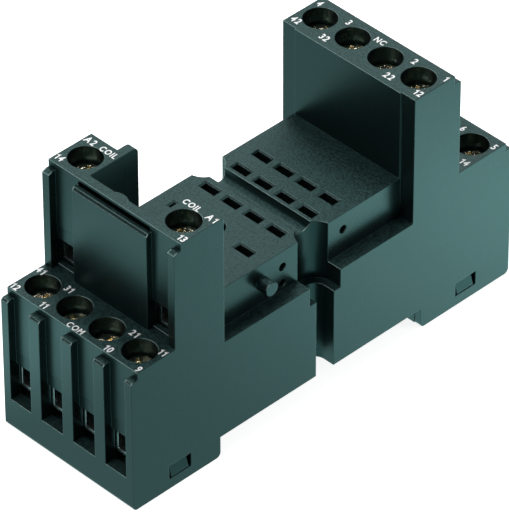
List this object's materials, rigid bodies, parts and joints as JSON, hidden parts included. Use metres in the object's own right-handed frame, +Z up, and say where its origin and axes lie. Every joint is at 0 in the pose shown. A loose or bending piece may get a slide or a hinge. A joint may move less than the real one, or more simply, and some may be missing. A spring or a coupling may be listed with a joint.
{
  "type": "relay socket",
  "caption": "DIN-rail socket for a blade-terminal relay, with screw clamp terminals on two levels, a relay bay between two towers and a rail recess below.",
  "frame": {"origin": "centre of the bottom face of the bounding box, on the surface the socket stands on", "axes": "+X across the width towards the side with the peg, +Y along the length from the COM terminals to the NO terminals, +Z up"},
  "size_m": [0.0262, 0.075, 0.0422],
  "materials": {
    "housing": "moulded, fine matte grain",
    "base": "moulded, smooth",
    "screw": "plated",
    "cage": "zinc plated",
    "contact": "rolled strip"
  },
  "bodies": {
    "body": {"housing": "housing", "base": "base", "contact_1": "contact", "contact_2": "contact", "contact_3": "contact", "contact_4": "contact", "contact_5": "contact", "contact_6": "contact", "contact_7": "contact", "contact_8": "contact", "contact_9": "contact", "contact_10": "contact", "contact_11": "contact", "contact_12": "contact", "contact_13": "contact", "contact_14": "contact"},
    "screw_1": {"screw_1": "screw"},
    "cage_1": {"cage_1": "cage"},
    "screw_2": {"screw_2": "screw"},
    "cage_2": {"cage_2": "cage"},
    "screw_3": {"screw_3": "screw"},
    "cage_3": {"cage_3": "cage"},
    "screw_4": {"screw_4": "screw"},
    "cage_4": {"cage_4": "cage"},
    "screw_5": {"screw_5": "screw"},
    "cage_5": {"cage_5": "cage"},
    "screw_6": {"screw_6": "screw"},
    "cage_6": {"cage_6": "cage"},
    "screw_7": {"screw_7": "screw"},
    "cage_7": {"cage_7": "cage"},
    "screw_8": {"screw_8": "screw"},
    "cage_8": {"cage_8": "cage"},
    "screw_9": {"screw_9": "screw"},
    "cage_9": {"cage_9": "cage"},
    "screw_10": {"screw_10": "screw"},
    "cage_10": {"cage_10": "cage"},
    "screw_11": {"screw_11": "screw"},
    "cage_11": {"cage_11": "cage"},
    "screw_12": {"screw_12": "screw"},
    "cage_12": {"cage_12": "cage"},
    "screw_13": {"screw_13": "screw"},
    "cage_13": {"cage_13": "cage"},
    "screw_14": {"screw_14": "screw"},
    "cage_14": {"cage_14": "cage"}
  },
  "joints": [
    {"name": "screw_1_turn", "type": "hinge", "parent": "body", "child": "screw_1", "pos_m": [0.00975, 0.02145, 0.0396], "axis": [0, 0, -1], "range_deg": [-1224, 1656]},
    {"name": "screw_2_turn", "type": "hinge", "parent": "body", "child": "screw_2", "pos_m": [0.00325, 0.02145, 0.0396], "axis": [0, 0, -1], "range_deg": [-1224, 1656]},
    {"name": "screw_3_turn", "type": "hinge", "parent": "body", "child": "screw_3", "pos_m": [-0.00325, 0.02145, 0.0396], "axis": [0, 0, -1], "range_deg": [-1224, 1656]},
    {"name": "screw_4_turn", "type": "hinge", "parent": "body", "child": "screw_4", "pos_m": [-0.00975, 0.02145, 0.0396], "axis": [0, 0, -1], "range_deg": [-1224, 1656]},
    {"name": "screw_5_turn", "type": "hinge", "parent": "body", "child": "screw_5", "pos_m": [0.00975, 0.03265, 0.0217], "axis": [0, 0, -1], "range_deg": [-1224, 1656]},
    {"name": "screw_6_turn", "type": "hinge", "parent": "body", "child": "screw_6", "pos_m": [0.00325, 0.03265, 0.0217], "axis": [0, 0, -1], "range_deg": [-1224, 1656]},
    {"name": "screw_7_turn", "type": "hinge", "parent": "body", "child": "screw_7", "pos_m": [-0.00325, 0.03265, 0.0217], "axis": [0, 0, -1], "range_deg": [-1224, 1656]},
    {"name": "screw_8_turn", "type": "hinge", "parent": "body", "child": "screw_8", "pos_m": [-0.00975, 0.03265, 0.0217], "axis": [0, 0, -1], "range_deg": [-1224, 1656]},
    {"name": "screw_9_turn", "type": "hinge", "parent": "body", "child": "screw_9", "pos_m": [0.00975, -0.03265, 0.0217], "axis": [0, 0, -1], "range_deg": [-1224, 1656]},
    {"name": "screw_10_turn", "type": "hinge", "parent": "body", "child": "screw_10", "pos_m": [0.00325, -0.03265, 0.0217], "axis": [0, 0, -1], "range_deg": [-1224, 1656]},
    {"name": "screw_11_turn", "type": "hinge", "parent": "body", "child": "screw_11", "pos_m": [-0.00325, -0.03265, 0.0217], "axis": [0, 0, -1], "range_deg": [-1224, 1656]},
    {"name": "screw_12_turn", "type": "hinge", "parent": "body", "child": "screw_12", "pos_m": [-0.00975, -0.03265, 0.0217], "axis": [0, 0, -1], "range_deg": [-1224, 1656]},
    {"name": "screw_13_turn", "type": "hinge", "parent": "body", "child": "screw_13", "pos_m": [0.00975, -0.02405, 0.0396], "axis": [0, 0, -1], "range_deg": [-1224, 1656]},
    {"name": "screw_14_turn", "type": "hinge", "parent": "body", "child": "screw_14", "pos_m": [-0.00975, -0.02405, 0.0396], "axis": [0, 0, -1], "range_deg": [-1224, 1656]},
    {"name": "cage_1_lift", "type": "slide", "parent": "body", "child": "cage_1", "axis": [0, 0, 1], "range_m": [-0.0017, 0.0023]},
    {"name": "cage_2_lift", "type": "slide", "parent": "body", "child": "cage_2", "axis": [0, 0, 1], "range_m": [-0.0017, 0.0023]},
    {"name": "cage_3_lift", "type": "slide", "parent": "body", "child": "cage_3", "axis": [0, 0, 1], "range_m": [-0.0017, 0.0023]},
    {"name": "cage_4_lift", "type": "slide", "parent": "body", "child": "cage_4", "axis": [0, 0, 1], "range_m": [-0.0017, 0.0023]},
    {"name": "cage_5_lift", "type": "slide", "parent": "body", "child": "cage_5", "axis": [0, 0, 1], "range_m": [-0.0017, 0.0023]},
    {"name": "cage_6_lift", "type": "slide", "parent": "body", "child": "cage_6", "axis": [0, 0, 1], "range_m": [-0.0017, 0.0023]},
    {"name": "cage_7_lift", "type": "slide", "parent": "body", "child": "cage_7", "axis": [0, 0, 1], "range_m": [-0.0017, 0.0023]},
    {"name": "cage_8_lift", "type": "slide", "parent": "body", "child": "cage_8", "axis": [0, 0, 1], "range_m": [-0.0017, 0.0023]},
    {"name": "cage_9_lift", "type": "slide", "parent": "body", "child": "cage_9", "axis": [0, 0, 1], "range_m": [-0.0017, 0.0023]},
    {"name": "cage_10_lift", "type": "slide", "parent": "body", "child": "cage_10", "axis": [0, 0, 1], "range_m": [-0.0017, 0.0023]},
    {"name": "cage_11_lift", "type": "slide", "parent": "body", "child": "cage_11", "axis": [0, 0, 1], "range_m": [-0.0017, 0.0023]},
    {"name": "cage_12_lift", "type": "slide", "parent": "body", "child": "cage_12", "axis": [0, 0, 1], "range_m": [-0.0017, 0.0023]},
    {"name": "cage_13_lift", "type": "slide", "parent": "body", "child": "cage_13", "axis": [0, 0, 1], "range_m": [-0.0017, 0.0023]},
    {"name": "cage_14_lift", "type": "slide", "parent": "body", "child": "cage_14", "axis": [0, 0, 1], "range_m": [-0.0017, 0.0023]}
  ],
  "couplings": [
    {"joint": "screw_1_turn", "follows": "cage_1_lift", "rad_per_m": 12566},
    {"joint": "screw_2_turn", "follows": "cage_2_lift", "rad_per_m": 12566},
    {"joint": "screw_3_turn", "follows": "cage_3_lift", "rad_per_m": 12566},
    {"joint": "screw_4_turn", "follows": "cage_4_lift", "rad_per_m": 12566},
    {"joint": "screw_5_turn", "follows": "cage_5_lift", "rad_per_m": 12566},
    {"joint": "screw_6_turn", "follows": "cage_6_lift", "rad_per_m": 12566},
    {"joint": "screw_7_turn", "follows": "cage_7_lift", "rad_per_m": 12566},
    {"joint": "screw_8_turn", "follows": "cage_8_lift", "rad_per_m": 12566},
    {"joint": "screw_9_turn", "follows": "cage_9_lift", "rad_per_m": 12566},
    {"joint": "screw_10_turn", "follows": "cage_10_lift", "rad_per_m": 12566},
    {"joint": "screw_11_turn", "follows": "cage_11_lift", "rad_per_m": 12566},
    {"joint": "screw_12_turn", "follows": "cage_12_lift", "rad_per_m": 12566},
    {"joint": "screw_13_turn", "follows": "cage_13_lift", "rad_per_m": 12566},
    {"joint": "screw_14_turn", "follows": "cage_14_lift", "rad_per_m": 12566}
  ]
}
